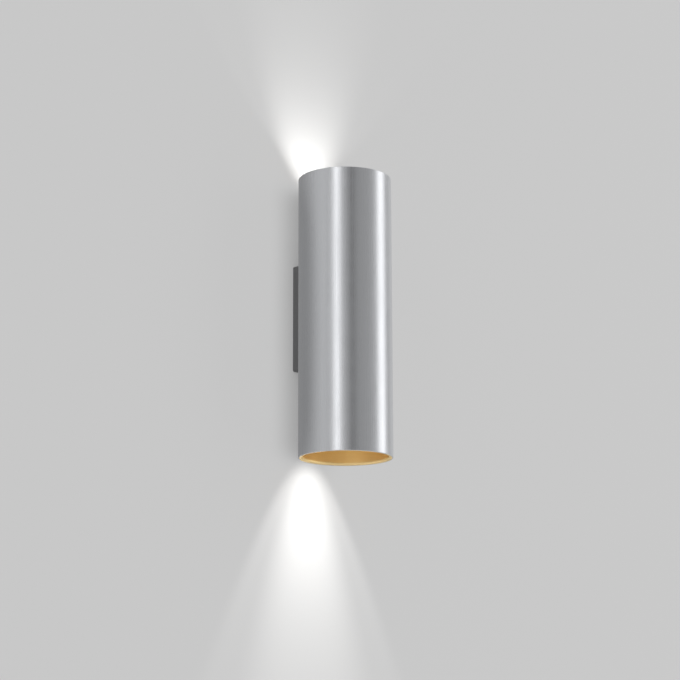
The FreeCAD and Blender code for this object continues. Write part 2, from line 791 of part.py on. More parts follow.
def earth_screw():
    """The screw that holds the ring lug under the upper shelf."""
    grip = "lug_thickness + earth_boss_drop + shelf_thickness + earth_shank / 2"
    one = screw("EarthScrewBody", "earth_shank", "earth_head", "earth_head_height", grip)
    aim(one, (1, 0, 0), 180, across="-earth_across", deep="-earth_ahead", high="lug_face - lug_thickness")
    return on_axis(group("EarthScrew", [one]), "earth_screw")


def earth_ring_lug():
    """The flat ring and crimped barrel on the earth lead's end."""
    body = new_body("EarthRingLug")
    under = "lug_face - lug_thickness"
    ring = sketch_on(body, "XY_Plane", "LugRing", lift=under)
    circle_outline(ring, "lug_radius")
    pad(body, ring, "lug_thickness")
    tongue = sketch_on(body, "XY_Plane", "LugTongue", lift=under)
    box_outline(tongue, "lug_barrel", "lug_neck / 2", high="-lug_neck / 2 - lug_barrel / 2")
    pad(body, tongue, "lug_thickness")
    barrel = sketch_on(body, "XZ_Plane", "LugBarrel", lift="lug_neck")
    circle_outline(barrel, "lug_barrel", high="barrel_height")
    pad(body, barrel, "lug_barrel_length")
    hole = sketch_on(body, "XY_Plane", "LugHole")
    circle_outline(hole, "earth_shank + screw_play")
    pocket(body, hole, back=True)
    return place(body, "earth_ring_lug", across="-earth_across", deep="-axis_to_wall - earth_ahead")


def free_spot(way):
    """Where a lamp pin stands once the lamp is twisted free."""
    turn = "(twist_angle * 1 deg)"
    return f"{way}pin_radius * cos({turn})", f"{way}pin_radius * sin({turn})"


def keyhole_outline(sketch, half_width, way):
    """The short slot that a lamp pin slides along between locked, at angle 0, and free."""
    turn = "(twist_angle * 1 deg)"
    out = (f"{way}{half_width} * cos({turn} / 2)", f"{way}{half_width} * sin({turn} / 2)")
    locked = (f"{way}pin_radius", "0")
    free = free_spot(way)
    outline(sketch, [
        (f"{locked[0]} + ({out[0]})", f"{locked[1]} + ({out[1]})"),
        (f"{free[0]} + ({out[0]})", f"{free[1]} + ({out[1]})"),
        (f"~{free[0]} - ({out[0]})", f"{free[1]} - ({out[1]})"),
        (f"~{locked[0]} - ({out[0]})", f"{locked[1]} - ({out[1]})"),
    ], {1: (*free, "left"), 3: (*locked, "left")})


def lampholder(end, turned):
    """The ceramic block whose keyholes take the pins and hold their feet after a twist."""
    body = new_body(f"{end}Holder")
    block = sketch_on(body, "XY_Plane", f"{end}HolderBlock", lift="holder_split")
    slot_outline(block, "holder_length / 2", "holder_width / 2")
    pad(body, block, "holder_top - holder_split")
    top = value("holder_top")
    dress(body, "Chamfer", "holder_edge", lambda edge: near(edge.BoundBox.ZMin, top))
    for way, side in (("", "Right"), ("-", "Left")):
        chamber = sketch_on(body, "XY_Plane", f"{end}Chamber{side}", lift="holder_split")
        keyhole_outline(chamber, "keyhole_wide", way)
        pocket(body, chamber, "lip_bottom - holder_split", back=True)
        slot = sketch_on(body, "XY_Plane", f"{end}Keyhole{side}")
        keyhole_outline(slot, "keyhole_narrow", way)
        pocket(body, slot, back=True)
        entry = sketch_on(body, "XY_Plane", f"{end}Entry{side}")
        circle_outline(entry, "keyhole_wide", *free_spot(way))
        pocket(body, entry, back=True)
    holes = sketch_on(body, "XY_Plane", f"{end}HolderHoles")
    sinks = sketch_on(body, "XY_Plane", f"{end}HolderSinks", lift="holder_top")
    for place_back in both_ways("holder_screw_radius"):
        circle_outline(holes, "holder_hole", high=place_back)
        circle_outline(sinks, "head_recess", high=place_back)
    pocket(body, holes, back=True)
    pocket(body, sinks, "head_sink")
    return on_axis(body, f"{end.lower()}_lampholder", turned)


def lampholder_cover(end, turned):
    """The block behind the holder, hollowed for the contacts and bored for the leads."""
    body = new_body(f"{end}Cover")
    block = sketch_on(body, "XY_Plane", f"{end}CoverBlock", lift="shelf_top")
    slot_outline(block, "holder_length / 2", "holder_width / 2")
    pad(body, block, "cover_height")
    cavity = sketch_on(body, "XY_Plane", f"{end}CoverCavity", lift="holder_split")
    box_outline(cavity, "cavity_width / 2", "cavity_length / 2")
    pocket(body, cavity, "cavity_depth")
    holes = sketch_on(body, "XY_Plane", f"{end}CoverHoles")
    for place_back, across in zip(both_ways("holder_screw_radius"), both_ways("lead_across")):
        circle_outline(holes, "holder_hole", high=place_back)
        circle_outline(holes, "lead_diameter / 2 + clamp_play", across=across)
    pocket(body, holes, back=True)
    return on_axis(body, f"{end.lower()}_lampholder_cover", turned)


def lampholder_contacts(end, turned):
    """The bent strips that the feet of the pins rest on."""
    members = []
    for side, angle in (("Right", 0), ("Left", 180)):
        body = new_body(f"{end}Contact{side}")
        strip = sketch_on(body, "XZ_Plane", f"{end}Contact{side}Strip")
        leg = "contact_near + contact_thickness"
        outline(strip, [
            ("contact_near", "contact_foot"),
            (leg, "contact_foot"),
            (leg, "contact_top - contact_thickness"),
            ("contact_near + contact_reach", "contact_top - contact_thickness"),
            ("contact_near + contact_reach", "contact_top"),
            ("contact_near", "contact_top"),
        ])
        pad(body, strip, "contact_width", both=True)
        members.append(aim(body, (0, 0, 1), angle))
    return on_axis(group(f"{end}Contacts", members), f"{end.lower()}_lampholder_contacts", turned)


def lampholder_screws(end, turned):
    """The long screws through holder and cover into the shelf."""
    members = []
    for side, place_back in zip(("Rear", "Front"), both_ways("holder_screw_radius")):
        one = screw(f"{end}HolderScrew{side}", "holder_shank", "holder_head", "holder_head_height",
                    "holder_screw_length")
        members.append(aim(one, (0, 0, 1), 0, deep=place_back, high="holder_top - head_sink"))
    return on_axis(group(f"{end}HolderScrews", members), f"{end.lower()}_lampholder_screws", turned)


def lamp_base(end, turned):
    """The lamp's plastic foot, with a round collar that the housing fits over."""
    body = new_body(f"{end}Base")
    block = sketch_on(body, "XY_Plane", f"{end}BaseBlock", lift="lamp_bottom")
    slot_outline(block, "base_length / 2", "base_width / 2")
    pad(body, block, "base_block")
    low = value("lamp_bottom")
    dress(body, "Chamfer", "holder_edge", lambda edge: near(edge.BoundBox.ZMax, low))
    collar = sketch_on(body, "XY_Plane", f"{end}BaseCollar", lift="collar_bottom")
    circle_outline(collar, "collar_radius")
    pad(body, collar, "collar_height")
    roots = sketch_on(body, "XY_Plane", f"{end}BasePinHoles", lift="lamp_bottom")
    for across in both_ways("pin_radius"):
        circle_outline(roots, "pin_diameter / 2 + seat_play", across=across)
    pocket(body, roots, "pin_root", back=True)
    return on_axis(body, f"{end.lower()}_lamp_base", turned)


def lamp_pins(end, turned):
    """Two pins, each with a wide foot that goes under a keyhole's lips."""
    members = []
    for side, across in zip(("Right", "Left"), both_ways("pin_radius")):
        body = turned_body(f"{end}Pin{side}", [
            ("0", "foot_bottom"),
            ("foot_diameter / 2 - foot_edge", "foot_bottom"),
            ("foot_diameter / 2", "foot_bottom + foot_edge"),
            ("foot_diameter / 2", "foot_top"),
            ("pin_diameter / 2", "foot_top"),
            ("pin_diameter / 2", "lamp_bottom + pin_root"),
            ("0", "lamp_bottom + pin_root"),
        ])
        members.append(aim(body, (0, 0, 1), 0, across=across))
    return on_axis(group(f"{end}Pins", members), f"{end.lower()}_lamp_pins", turned)


def cone_radius(height):
    """The lamp housing's outer radius at a height on its flare."""
    share = f"({height} - flare_bottom) / (flare_top - flare_bottom)"
    return f"neck_radius + (lamp_radius - neck_radius) * {share}"


def lamp_housing(end, turned):
    """The lamp's flared, finned heat sink, with a cup for the circuit board and the lens."""
    recess = "collar_radius + seat_play"
    body = turned_body(f"{end}Housing", [
        ("0", "collar_top"),
        (recess, "collar_top"),
        (recess, "collar_top - neck_overlap"),
        ("neck_radius", "collar_top - neck_overlap"),
        ("neck_radius", "flare_bottom"),
        ("lamp_radius", "flare_top"),
        ("lamp_radius", "lens_top"),
        ("cup_radius", "lens_top"),
        ("cup_radius", "lens_bottom"),
        ("ledge_radius", "lens_bottom"),
        ("ledge_radius", "cup_floor"),
        ("0", "cup_floor"),
    ])
    low, high = "(flare_bottom + fin_margin)", "(cup_floor - fin_margin)"
    slot = sketch_on(body, "XZ_Plane", f"{end}FinSlot")
    outline(slot, [
        (f"{cone_radius(low)} - fin_depth", low),
        ("lamp_radius + fin_margin", low),
        ("lamp_radius + fin_margin", high),
        (f"{cone_radius(high)} - fin_depth", high),
    ])
    first = pocket(body, slot, "fin_slot", both=True)
    pattern = body.newObject("PartDesign::PolarPattern", f"{end}FinSlots")
    pattern.Originals = [first]
    upright = next(item for item in body.Origin.OriginFeatures if item.Role == "Z_Axis")
    pattern.Axis = (upright, [""])
    pattern.Angle = 360
    bind(pattern, "Occurrences", "fin_count")
    body.Tip = pattern
    return on_axis(body, f"{end.lower()}_lamp_housing", turned)


def lamp_led_board(end, turned):
    """The round circuit board with its four light chips."""
    body = new_body(f"{end}Board")
    plate = sketch_on(body, "XY_Plane", f"{end}BoardPlate", lift="cup_floor")
    circle_outline(plate, "ledge_radius - screw_play")
    pad(body, plate, "board_thickness")
    chips = sketch_on(body, "XY_Plane", f"{end}BoardChips", lift="cup_floor + board_thickness")
    for across in both_ways("chip_offset"):
        for ahead in both_ways("chip_offset"):
            box_outline(chips, "chip_side / 2", "chip_side / 2", across=across, high=ahead)
    pad(body, chips, "chip_rise")
    return on_axis(body, f"{end.lower()}_lamp_led_board", turned)


def lamp_lens(end, turned):
    """The frosted disc over the chips."""
    body = turned_body(f"{end}Lens", [
        ("0", "lens_bottom"),
        ("lens_radius", "lens_bottom"),
        ("lens_radius", "lens_top"),
        ("bezel_inner - screw_play", "lens_top"),
        ("bezel_inner - screw_play - bezel_edge", "lens_top + bezel_edge"),
        ("0", "lens_top + bezel_edge"),
    ])
    return on_axis(body, f"{end.lower()}_lamp_lens", turned)


def lamp_bezel(end, turned):
    """The ring that holds the lens."""
    body = turned_body(f"{end}Bezel", [
        ("bezel_inner", "lens_top"),
        ("lamp_radius", "lens_top"),
        ("lamp_radius", "lamp_face - bezel_edge"),
        ("lamp_radius - bezel_edge", "lamp_face"),
        ("bezel_inner + bezel_edge", "lamp_face"),
        ("bezel_inner", "lamp_face - bezel_edge"),
    ])
    return on_axis(body, f"{end.lower()}_lamp_bezel", turned)


def glare_sleeve(end, turned):
    """A thin cup with a hole in its floor, a rolled bead for its ring and a rounded lip at the mouth."""
    bend = "sleeve_outer - sleeve_corner"
    rounding = "sleeve_inner + lip_round"
    body = turned_body(f"{end}Sleeve", [
        ("aperture_radius", "sleeve_floor"),
        (bend, "sleeve_floor"),
        ("~sleeve_outer", "sleeve_knee"),
        ("sleeve_outer", "ring_height - groove_width / 2 - groove_slope"),
        ("groove_radius", "ring_height - groove_width / 2"),
        ("groove_radius", "ring_height + groove_width / 2"),
        ("sleeve_outer", "ring_height + groove_width / 2 + groove_slope"),
        ("sleeve_outer", "lip_under"),
        ("lip_radius", "lip_under"),
        ("lip_radius", "half_length"),
        (rounding, "half_length"),
        ("~sleeve_inner", "half_length - lip_round"),
        ("sleeve_inner", "ring_height + groove_width / 2 + bead_slope"),
        ("bead_radius", "ring_height + groove_width / 2"),
        ("bead_radius", "ring_height - groove_width / 2"),
        ("sleeve_inner", "ring_height - groove_width / 2 - bead_slope"),
        ("sleeve_inner", "sleeve_knee"),
        (bend, "~sleeve_floor + sleeve_wall"),
        ("aperture_radius", "sleeve_floor + sleeve_wall"),
    ], {1: (bend, "sleeve_knee", "left"), 10: (rounding, "half_length - lip_round", "left"),
        16: (bend, "sleeve_knee", "right")})
    return on_axis(body, f"{end.lower()}_glare_sleeve", turned)


def sleeve_ring(end, turned):
    """The soft ring in the sleeve's groove, which grips the tube."""
    ring = doc.addObject("Part::Torus", f"{end}SleeveRing")
    bind(ring, "Radius1", "ring_radius")
    bind(ring, "Radius2", "ring_section / 2")
    height = "-(ring_height)" if turned else "ring_height"
    return place(ring, f"{end.lower()}_sleeve_ring", deep="-(axis_to_wall)", high=height)


def lead_tube(points, radii, thickness):
    """A round lead along straight runs joined by tangent arcs, and the wire that it follows."""
    spots = [FreeCAD.Vector(*[value(text) for text in point]) for point in points]
    edges = []
    start = spots[0]
    for before, corner, after, radius in zip(spots, spots[1:], spots[2:], radii):
        into = (corner - before).normalize()
        away = (after - corner).normalize()
        reach = value(radius) * math.tan(into.getAngle(away) / 2)
        first, last = corner - into * reach, corner + away * reach
        halfway = corner + (away - into).normalize() * (
            math.hypot(reach, value(radius)) - value(radius))
        edges += [Part.LineSegment(start, first).toShape(), Part.Arc(first, halfway, last).toShape()]
        start = last
    edges.append(Part.LineSegment(start, spots[-1]).toShape())
    path = Part.Wire(edges)
    ring = Part.Circle(spots[0], spots[1] - spots[0], value(thickness) / 2)
    tube = path.makePipeShell([Part.Wire(ring.toShape())], True, False)
    wanted = math.pi * ring.Radius ** 2 * path.Length
    radii_text = ", ".join(f"{value(radius):.1f}" for radius in radii)
    print(f"lead: length {path.Length:.1f}, volume {tube.Volume:.2f} of {wanted:.2f}, radii {radii_text}")
    return tube


def lead_part(name, tubes):
    """One sub-part of swept leads."""
    lead = doc.addObject("Part::Feature", name)
    lead.Shape = Part.makeCompound(tubes)
    return lead


def lamp_leads(end, turned):
    """Two leads from the holder's contacts down to the terminal block's front."""
    tubes = []
    for way in ("", "-"):
        tubes.append(lead_tube([
            (f"{way}lead_across", "0", "contact_foot"),
            (f"{way}lead_across", "0", "port_rise"),
            (f"{way}pole_pitch", "clamp_front - lead_straight", "port_rise"),
            (f"{way}pole_pitch", "clamp_front", "port_rise"),
        ], ["lead_bend", "lead_ease"], "lead_diameter"))
    return on_axis(lead_part(f"{end}Leads", tubes), f"{end.lower()}_lamp_leads", turned)


def earth_lead():
    """The lead from the terminal block's middle pole round to the ring lug under the upper shelf."""
    bend_ahead = "-(earth_ahead + earth_lead_reach)"
    tube = lead_tube([
        ("-earth_across", "-(earth_ahead + lug_neck + lug_barrel_length)", "barrel_height"),
        ("-earth_across", bend_ahead, "barrel_height"),
        ("0", bend_ahead, "0"),
        ("0", "clamp_front", "0"),
    ], ["earth_lead_bend", "earth_lead_bend"], "earth_lead_diameter")
    return on_axis(lead_part("EarthLead", [tube]), "earth_lead")


def check_model(parts):
    """Stops on a failed feature or a bad shape."""
    for item in doc.Objects:
        faults = [word for word in item.State if word in ("Invalid", "Error")]
        if faults:
            raise ValueError(f"{item.Label}: {faults}")
    for part in parts:
        if part.Shape.isNull() or not part.Shape.isValid():
            raise ValueError(f"{part.Label} has a bad shape")


fill_sheet()
parts = [
    wall_plate(),
    cable_grommet(),
    mounting_saddle(),
    saddle_lock_screws(),
    frame_screws(),
    outer_tube(),
    lamp_frame(),
    terminal_block(),
    terminal_clamps(),
    terminal_block_screws(),
    earth_screw(),
    earth_ring_lug(),
    earth_lead(),
]
for end, turned in (("Lower", True), ("Upper", False)):
    parts += [make(end, turned) for make in (
        lampholder, lampholder_cover, lampholder_contacts, lampholder_screws, lamp_leads,
        lamp_base, lamp_pins, lamp_housing, lamp_led_board, lamp_lens, lamp_bezel,
        glare_sleeve, sleeve_ring,
    )]
doc.recompute()
check_model(parts)
os.makedirs("parts", exist_ok=True)
for part in parts:
    part.Shape.exportStep(f"parts/{part.Label}.step")
    print(f"{part.Label}: {len(part.Shape.Solids)} solid, volume {part.Shape.Volume:.1f}")
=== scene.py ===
import enum
import json
import logging
import math
from dataclasses import dataclass
from typing import Any, ClassVar, Optional

import bmesh
import bpy
from mathutils import Matrix, Vector


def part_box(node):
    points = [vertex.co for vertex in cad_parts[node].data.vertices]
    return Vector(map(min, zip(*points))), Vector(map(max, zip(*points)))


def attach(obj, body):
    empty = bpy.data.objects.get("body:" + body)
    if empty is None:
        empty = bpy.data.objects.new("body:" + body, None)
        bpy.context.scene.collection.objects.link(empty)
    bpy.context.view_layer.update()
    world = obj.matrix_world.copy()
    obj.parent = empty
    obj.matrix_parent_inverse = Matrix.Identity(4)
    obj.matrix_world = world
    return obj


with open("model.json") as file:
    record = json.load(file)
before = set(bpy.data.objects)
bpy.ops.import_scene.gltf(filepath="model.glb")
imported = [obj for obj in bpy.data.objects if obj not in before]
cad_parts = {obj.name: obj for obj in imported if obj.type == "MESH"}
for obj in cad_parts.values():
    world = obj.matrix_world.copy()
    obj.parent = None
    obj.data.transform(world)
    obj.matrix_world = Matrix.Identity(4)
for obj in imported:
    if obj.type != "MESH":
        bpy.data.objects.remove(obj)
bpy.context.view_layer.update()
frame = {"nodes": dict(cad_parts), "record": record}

# An up-and-down wall light on a plain wall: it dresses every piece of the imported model,
# adds the small parts that only a close look shows, and lights and frames the view.
# Metres; +Z is up, +Y goes into the wall, and the tube stands upright.

MM = 0.001

log = logging.getLogger("wall_light")

Colour = tuple[float, float, float]
Socket = bpy.types.NodeSocket


class End(enum.Enum):
    """The tube's two ends: the word in each piece's name, and the way that it faces."""

    LOWER = ("lower", -1)
    UPPER = ("upper", 1)

    @property
    def word(self) -> str:
        """The word that this end's pieces start with."""
        return self.value[0]

    @property
    def way(self) -> int:
        """1 where the end faces up and -1 where it faces down."""
        return self.value[1]

    def node(self, piece: str) -> str:
        """The full name of one of this end's pieces."""
        return f"{self.word}_{piece}"


class Grain(enum.Enum):
    """Which way a metal's fine lines run: the cells per metre across, deep and high."""

    UPRIGHT = (5200.0, 5200.0, 6.0)
    TURNED = (60.0, 60.0, 6000.0)
    EVEN = (3200.0, 3200.0, 3200.0)


class Recipe:
    """One material's nodes, added and joined by short calls."""

    def __init__(self, name: str) -> None:
        """Starts an empty material.

        Args:
            name: The material's name.
        """
        self.material = bpy.data.materials.new(name)
        self.material.use_nodes = True
        self.tree = self.material.node_tree
        self.tree.nodes.clear()
        self.coordinates = self.add("ShaderNodeTexCoord").outputs["Object"]

    def add(self, kind: str, inputs: Optional[dict[Any, Any]] = None, **settings: Any) -> bpy.types.Node:
        """Adds a node.

        Args:
            kind: The node's type.
            inputs: For each input, by name or number, a value or another node's output.
            **settings: The node's own properties.

        Returns:
            The node.
        """
        node = self.tree.nodes.new(kind)
        for key, setting in settings.items():
            setattr(node, key, setting)
        for key, given in (inputs or {}).items():
            if isinstance(given, Socket):
                self.tree.links.new(given, node.inputs[key])
            else:
                node.inputs[key].default_value = given
        return node

    def stretched(self, scale: tuple[float, float, float]) -> Socket:
        """The object's coordinates with a scale of their own along each axis."""
        mapping = self.add("ShaderNodeMapping", {"Vector": self.coordinates, "Scale": scale})
        return mapping.outputs["Vector"]

    def noise(self, at: Socket, scale: float, detail: float = 2.0, roughness: float = 0.5) -> Socket:
        """A cloudy value from 0 to 1.

        Args:
            at: Where the texture is read.
            scale: Clouds per unit of the coordinates.
            detail: How many finer layers it has.
            roughness: How strong the finer layers are.

        Returns:
            The value.
        """
        inputs = {"Vector": at, "Scale": scale, "Detail": detail, "Roughness": roughness}
        return self.add("ShaderNodeTexNoise", inputs).outputs["Fac"]

    def spread(self, value: Socket, low: float, high: float, start: float = 0.3, end: float = 0.7) -> Socket:
        """Spreads a value between two limits.

        Args:
            value: The value to spread.
            low: What it becomes at the start.
            high: What it becomes at the end.
            start: Where the spread starts.
            end: Where the spread ends.

        Returns:
            The spread value.
        """
        inputs = {"Value": value, "From Min": start, "From Max": end, "To Min": low, "To Max": high}
        return self.add("ShaderNodeMapRange", inputs).outputs["Result"]

    def maths(self, operation: str, first: Any, second: Any = 0.0) -> Socket:
        """The result of a sum, product or comparison of two values."""
        return self.add("ShaderNodeMath", {0: first, 1: second}, operation=operation).outputs[0]

    def blend(self, share: Any, first: Any, second: Any) -> Socket:
        """A colour between two others.

        Args:
            share: 0 for the first colour and 1 for the second.
            first: A colour or an output.
            second: A colour or an output.

        Returns:
            The colour.
        """
        colours = [c if isinstance(c, Socket) else (*c, 1.0) for c in (first, second)]
        inputs = {0: share, 6: colours[0], 7: colours[1]}
        return self.add("ShaderNodeMix", inputs, data_type="RGBA").outputs[2]

    def bump(self, height: Socket, depth: float, under: Optional[Socket] = None) -> Socket:
        """Surface relief.

        Args:
            height: The relief's height, 0 to 1.
            depth: The distance in metres between 0 and 1.
            under: A coarser relief that this one lies on.

        Returns:
            The surface's direction.
        """
        inputs: dict[Any, Any] = {"Height": height, "Distance": depth, "Strength": 1.0}
        if under is not None:
            inputs["Normal"] = under
        return self.add("ShaderNodeBump", inputs).outputs["Normal"]

    def surface(self, inputs: dict[Any, Any]) -> bpy.types.Material:
        """Ends the recipe with one shader.

        Args:
            inputs: The shader's inputs.

        Returns:
            The finished material.
        """
        shader = self.add("ShaderNodeBsdfPrincipled", inputs)
        return self.output(shader.outputs["BSDF"])

    def output(self, shader: Socket) -> bpy.types.Material:
        """Joins a shader to the material's output and returns the material."""
        self.add("ShaderNodeOutputMaterial", {"Surface": shader})
        return self.material


@dataclass(frozen=True)
class Finish:
    """What every finish has: its name in the record and its colour."""

    slot: str
    colour: Colour

    def material(self) -> bpy.types.Material:
        """Builds the finish's material; each kind of finish has its own."""
        raise NotImplementedError


@dataclass(frozen=True)
class LinedMetal(Finish):
    """Metal with fine lines from brushing or turning, and faint cloudy wear."""

    grain: Grain
    roughness: float
    roughness_spread: float = 0.05
    line_depth: float = 0.0003 * MM
    line_tint: float = 0.06
    line_shade: float = 0.55
    cloud_size: float = 25 * MM
    cloud_roughness: float = 0.015
    stretch: float = 0.0

    def material(self) -> bpy.types.Material:
        """Lines come from noise stretched along the grain; wide clouds change the roughness a little."""
        recipe = Recipe(self.slot)
        lines = recipe.noise(recipe.stretched(self.grain.value), 1.0, detail=3.0, roughness=0.6)
        clouds = recipe.noise(recipe.coordinates, 1 / self.cloud_size)
        low, high = self.roughness - self.roughness_spread, self.roughness + self.roughness_spread
        worn = recipe.spread(clouds, -self.cloud_roughness, self.cloud_roughness)
        rough = recipe.maths("ADD", recipe.spread(lines, low, high), worn)
        tint = recipe.spread(lines, 0.0, self.line_tint)
        darker = tuple(part * self.line_shade for part in self.colour)
        inputs = {
            "Base Color": recipe.blend(tint, self.colour, darker),
            "Metallic": 1.0,
            "Roughness": rough,
            "Normal": recipe.bump(lines, self.line_depth),
        }
        if self.stretch:
            tangent = recipe.add("ShaderNodeTangent", direction_type="RADIAL", axis="Z")
            inputs |= {"Anisotropic": self.stretch, "Tangent": tangent.outputs["Tangent"]}
        return recipe.surface(inputs)


@dataclass(frozen=True)
class PlatedMetal(Finish):
    """Plated or plain bright metal with small scratches and duller patches."""

    roughness: float
    patch_size: float = 3 * MM
    patch_colour: Colour = (0.4, 0.4, 0.38)
    patch_share: float = 0.3
    scratch_size: float = 0.35 * MM
    scratch_length: float = 9.0
    scratch_depth: float = 0.003 * MM

    def material(self) -> bpy.types.Material:
        """Patches dull the colour and the shine; scratches are noise drawn out one way."""
        recipe = Recipe(self.slot)
        patches = recipe.noise(recipe.coordinates, 1 / self.patch_size, detail=4.0)
        across = 1 / self.scratch_size
        drawn = recipe.stretched((across, across, across / self.scratch_length))
        scratches = recipe.noise(drawn, 1.0, detail=3.0, roughness=0.7)
        dull = recipe.spread(patches, 0.0, self.patch_share, start=0.5, end=0.75)
        return recipe.surface({
            "Base Color": recipe.blend(dull, self.colour, self.patch_colour),
            "Metallic": 1.0,
            "Roughness": recipe.spread(patches, self.roughness - 0.04, self.roughness + 0.08),
            "Normal": recipe.bump(scratches, self.scratch_depth),
        })


@dataclass(frozen=True)
class Casting(Finish):
    """Die-cast metal, bare or under a powder coat, with a fine orange-peel or sand relief."""

    coated: bool
    roughness: float
    relief_size: float = 0.9 * MM
    relief_depth: float = 0.02 * MM
    speck_size: float = 0.25 * MM
    speck_share: float = 0.5
    speck_colour: Colour = (0.2, 0.2, 0.21)

    def material(self) -> bpy.types.Material:
        """A soft relief with finer specks on it, in the colour as well as in the shape."""
        recipe = Recipe(self.slot)
        peel = recipe.noise(recipe.coordinates, 1 / self.relief_size, detail=1.5)
        specks = recipe.noise(recipe.coordinates, 1 / self.speck_size, detail=2.0, roughness=0.7)
        soft = recipe.bump(peel, self.relief_depth)
        fleck = recipe.spread(specks, 0.0, self.speck_share, start=0.55, end=0.75)
        return recipe.surface({
            "Base Color": recipe.blend(fleck, self.colour, self.speck_colour),
            "Metallic": 0.0 if self.coated else 1.0,
            "Roughness": recipe.spread(peel, self.roughness - 0.05, self.roughness + 0.05),
            "Normal": recipe.bump(specks, self.relief_depth / 4, soft),
        })


@dataclass(frozen=True)
class Moulding(Finish):
    """Moulded plastic, rubber or silicone with a finely eroded skin and soft, uneven colour."""

    roughness: float
    skin_size: float = 0.35 * MM
    skin_depth: float = 0.006 * MM
    mottle: float = 0.1
    mottle_shade: float = 0.8
    mottles_per_metre: float = 120.0
    clearness: float = 0.0

    def material(self) -> bpy.types.Material:
        """The skin's grain roughens it, and wide mottling shades it."""
        recipe = Recipe(self.slot)
        skin = recipe.noise(recipe.coordinates, 1 / self.skin_size, detail=3.0, roughness=0.6)
        mottling = recipe.noise(recipe.coordinates, self.mottles_per_metre, detail=2.0)
        shaded = tuple(part * self.mottle_shade for part in self.colour)
        share = recipe.spread(mottling, 0.0, self.mottle)
        return recipe.surface({
            "Base Color": recipe.blend(share, self.colour, shaded),
            "Roughness": recipe.spread(skin, self.roughness - 0.07, self.roughness + 0.07),
            "Transmission Weight": self.clearness,
            "Normal": recipe.bump(skin, self.skin_depth),
        })


@dataclass(frozen=True)
class FiredCeramic(Finish):
    """Pressed and fired ceramic: chalky, finely pitted and flecked."""

    pit_size: float = 0.5 * MM
    pit_depth: float = 0.03 * MM
    flecks_per_metre: float = 1400.0
    fleck_share: float = 0.5
    fleck_colour: Colour = (0.55, 0.5, 0.42)

    def material(self) -> bpy.types.Material:
        """Pits are the cells of a broken pattern; flecks are its darkest spots."""
        recipe = Recipe(self.slot)
        cells = recipe.add("ShaderNodeTexVoronoi", {"Vector": recipe.coordinates, "Scale": 1 / self.pit_size})
        pits = recipe.spread(cells.outputs["Distance"], 0.0, 1.0, start=0.0, end=0.35)
        specks = recipe.noise(recipe.coordinates, self.flecks_per_metre, detail=3.0)
        flecks = recipe.spread(specks, 0.0, self.fleck_share, start=0.62, end=0.75)
        return recipe.surface({
            "Base Color": recipe.blend(flecks, self.colour, self.fleck_colour),
            "Roughness": recipe.spread(pits, 0.75, 0.55),
            "Normal": recipe.bump(pits, self.pit_depth),
        })


@dataclass(frozen=True)
class StripedLead(Finish):
    """An earth lead's sleeve: one colour with a stripe of another wound round it."""

    stripe: Colour = (0.75, 0.62, 0.02)
    pitch: float = 5 * MM
    skin_size: float = 0.3 * MM
    skin_depth: float = 0.004 * MM

    def material(self) -> bpy.types.Material:
        """The stripe runs at a slant to all three axes, so it winds round every run of the lead."""
        recipe = Recipe(self.slot)
        parts = recipe.add("ShaderNodeSeparateXYZ", {0: recipe.coordinates}).outputs
        slant = recipe.maths("ADD", recipe.maths("ADD", parts[0], parts[1]), parts[2])
        turn = recipe.maths("FRACT", recipe.maths("DIVIDE", slant, self.pitch))
        band = recipe.spread(recipe.maths("PINGPONG", turn, 0.5), 0.0, 1.0, start=0.3, end=0.32)
        skin = recipe.noise(recipe.coordinates, 1 / self.skin_size)
        return recipe.surface({
            "Base Color": recipe.blend(band, self.colour, self.stripe),
            "Roughness": recipe.spread(skin, 0.35, 0.5),
            "Normal": recipe.bump(skin, self.skin_depth),
        })


@dataclass(frozen=True)
class PrintedBoard(Finish):
    """A white-coated aluminium circuit board with paler tracks and pads under the coat."""

    track_colour: Colour = (0.62, 0.6, 0.5)
    track_pitch: float = 3.2 * MM
    track_height: float = 0.035 * MM
    track_share: float = 0.6
    coat_size: float = 0.4 * MM
    coat_depth: float = 0.004 * MM

    def material(self) -> bpy.types.Material:
        """Tracks are the mortar of a brick pattern, raised a little above the coat."""
        recipe = Recipe(self.slot)
        inputs = {"Vector": recipe.coordinates, "Scale": 1 / self.track_pitch,
                  "Mortar Size": 0.09, "Brick Width": 2.0, "Row Height": 1.0}
        tracks = recipe.add("ShaderNodeTexBrick", inputs).outputs["Fac"]
        coat = recipe.noise(recipe.coordinates, 1 / self.coat_size)
        return recipe.surface({
            "Base Color": recipe.blend(recipe.maths("MULTIPLY", tracks, self.track_share), self.colour,
                                       self.track_colour),
            "Roughness": recipe.spread(coat, 0.3, 0.45),
            "Normal": recipe.bump(tracks, self.track_height, recipe.bump(coat, self.coat_depth)),
        })


